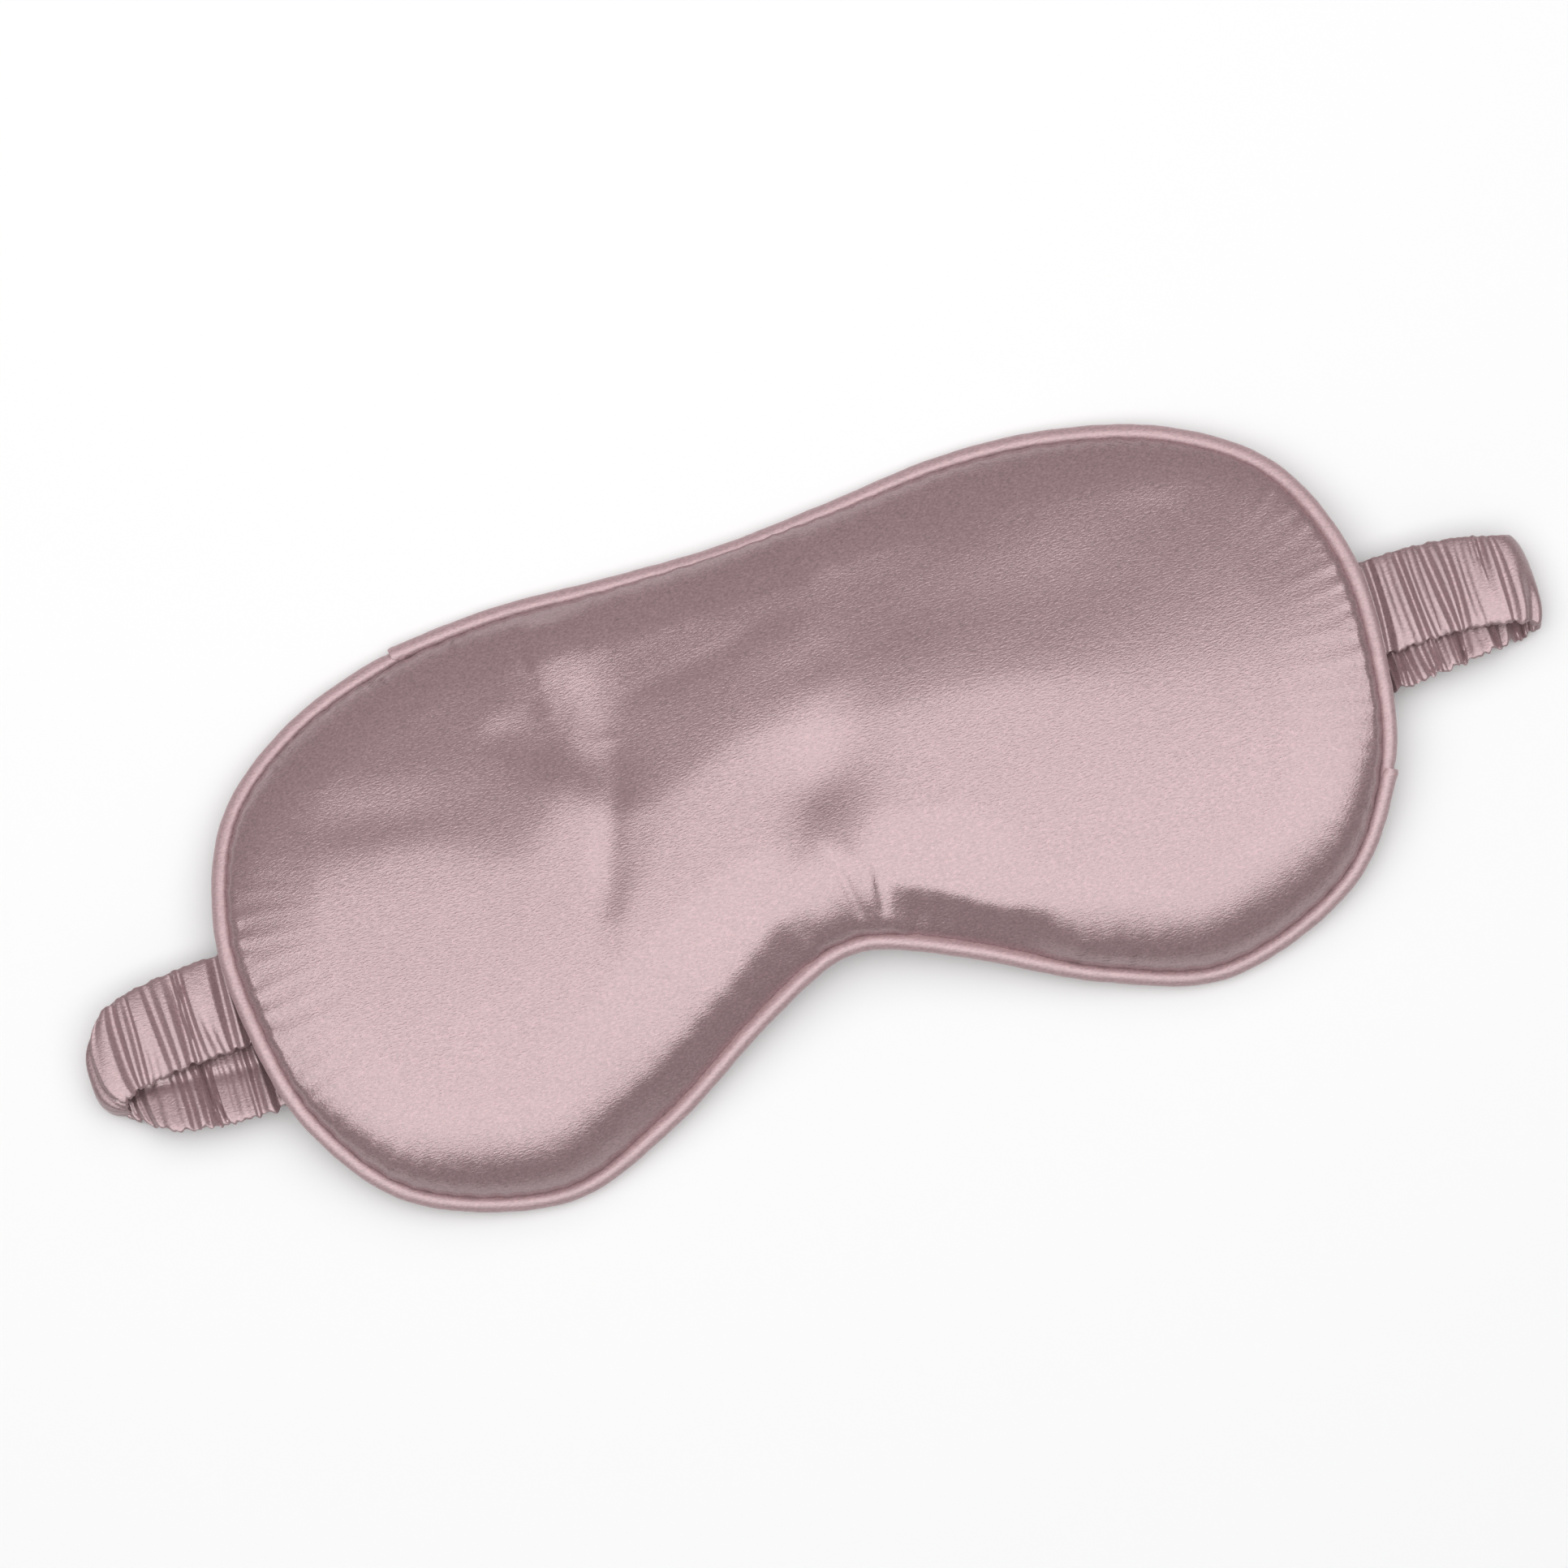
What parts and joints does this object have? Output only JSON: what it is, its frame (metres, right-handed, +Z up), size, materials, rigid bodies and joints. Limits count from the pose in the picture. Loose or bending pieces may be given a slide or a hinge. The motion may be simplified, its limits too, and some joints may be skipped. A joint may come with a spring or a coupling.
{
  "type": "sleep eye mask",
  "caption": "Padded satin sleep mask with a piped edge and a gathered elastic head strap, lying flat with the strap folded behind it.",
  "frame": {"origin": "under the middle of the whole object, strap included, on the surface that it lies on", "axes": "+X along the mask and strap, towards the viewer's right when the mask is seen from its front with the brow edge up; +Y towards the brow edge; +Z up, out of the mask's front"},
  "size_m": [0.2666, 0.103, 0.0139],
  "materials": {
    "front_satin": "smooth dusty pink satin, padded",
    "lining_satin": "smooth dusty pink satin",
    "piping_satin": "dusty pink satin bias strip round a cord",
    "strap_satin": "gathered dusty pink satin tube",
    "wadding": "soft white fibre wadding",
    "blackout_cloth": "matt black lining cloth",
    "cotton_cord": "twisted cotton cord",
    "elastic": "woven elastic band",
    "thread": "sewing thread in the satin's colour"
  },
  "bodies": {
    "mask": {"front_panel": "front_satin", "wadding": "wadding", "blackout_layer": "blackout_cloth", "lining": "lining_satin", "piping_cover_brow": "piping_satin", "piping_cover_cheek": "piping_satin", "piping_cord": "cotton_cord", "edge_stitching": "thread", "strap_end_left": "strap_satin", "strap_tack_left": "thread", "strap_end_right": "strap_satin", "strap_tack_right": "thread"},
    "strap_arm_left": {"strap_sleeve_arm_left": "strap_satin", "elastic_arm_left": "elastic"},
    "strap_turn_left": {"strap_sleeve_turn_left": "strap_satin", "elastic_turn_left": "elastic"},
    "strap_back_left": {"strap_sleeve_back_left": "strap_satin", "elastic_back_left": "elastic"},
    "strap_centre_left": {"strap_sleeve_centre_left": "strap_satin", "elastic_centre_left": "elastic"},
    "strap_arm_right": {"strap_sleeve_arm_right": "strap_satin", "elastic_arm_right": "elastic"},
    "strap_turn_right": {"strap_sleeve_turn_right": "strap_satin", "elastic_turn_right": "elastic"},
    "strap_back_right": {"strap_sleeve_back_right": "strap_satin", "elastic_back_right": "elastic"},
    "strap_centre_right": {"strap_sleeve_centre_right": "strap_satin", "elastic_centre_right": "elastic"}
  },
  "joints": [
    {"name": "strap_swing_left", "type": "hinge", "parent": "mask", "child": "strap_arm_left", "pos_m": [-0.1037, 0.001, 0.0047], "axis": [0, -1, 0], "range_deg": [0, 90]},
    {"name": "strap_unfold_outer_left", "type": "hinge", "parent": "strap_arm_left", "child": "strap_turn_left", "pos_m": [-0.13127, 0.001, 0.00557], "axis": [0, 1, 0], "range_deg": [0, 67], "deforming": ["strap_sleeve_turn_left", "elastic_turn_left"]},
    {"name": "strap_unfold_inner_left", "type": "hinge", "parent": "strap_turn_left", "child": "strap_back_left", "pos_m": [-0.13127, 0.001, 0.00203], "axis": [0, 1, 0], "range_deg": [0, 67], "deforming": ["strap_sleeve_turn_left", "elastic_turn_left"]},
    {"name": "strap_bend_left", "type": "hinge", "parent": "strap_back_left", "child": "strap_centre_left", "pos_m": [-0.0165, 0.001, 0.0026], "axis": [0, -1, 0], "range_deg": [0, 43]},
    {"name": "strap_swing_right", "type": "hinge", "parent": "mask", "child": "strap_arm_right", "pos_m": [0.1037, 0.001, 0.0047], "axis": [0, 1, 0], "range_deg": [0, 90]},
    {"name": "strap_unfold_outer_right", "type": "hinge", "parent": "strap_arm_right", "child": "strap_turn_right", "pos_m": [0.13127, 0.001, 0.00557], "axis": [0, -1, 0], "range_deg": [0, 67], "deforming": ["strap_sleeve_turn_right", "elastic_turn_right"]},
    {"name": "strap_unfold_inner_right", "type": "hinge", "parent": "strap_turn_right", "child": "strap_back_right", "pos_m": [0.13127, 0.001, 0.00203], "axis": [0, -1, 0], "range_deg": [0, 67], "deforming": ["strap_sleeve_turn_right", "elastic_turn_right"]},
    {"name": "strap_bend_right", "type": "hinge", "parent": "strap_back_right", "child": "strap_centre_right", "pos_m": [0.0165, 0.001, 0.0026], "axis": [0, 1, 0], "range_deg": [0, 43]}
  ],
  "couplings": [
    {"joint": "strap_swing_right", "follows": "strap_swing_left", "ratio": 1},
    {"joint": "strap_unfold_outer_left", "follows": "strap_swing_left", "ratio": 0.735},
    {"joint": "strap_unfold_inner_left", "follows": "strap_swing_left", "ratio": 0.735},
    {"joint": "strap_bend_left", "follows": "strap_swing_left", "ratio": 0.47},
    {"joint": "strap_unfold_outer_right", "follows": "strap_swing_left", "ratio": 0.735},
    {"joint": "strap_unfold_inner_right", "follows": "strap_swing_left", "ratio": 0.735},
    {"joint": "strap_bend_right", "follows": "strap_swing_left", "ratio": 0.47}
  ]
}
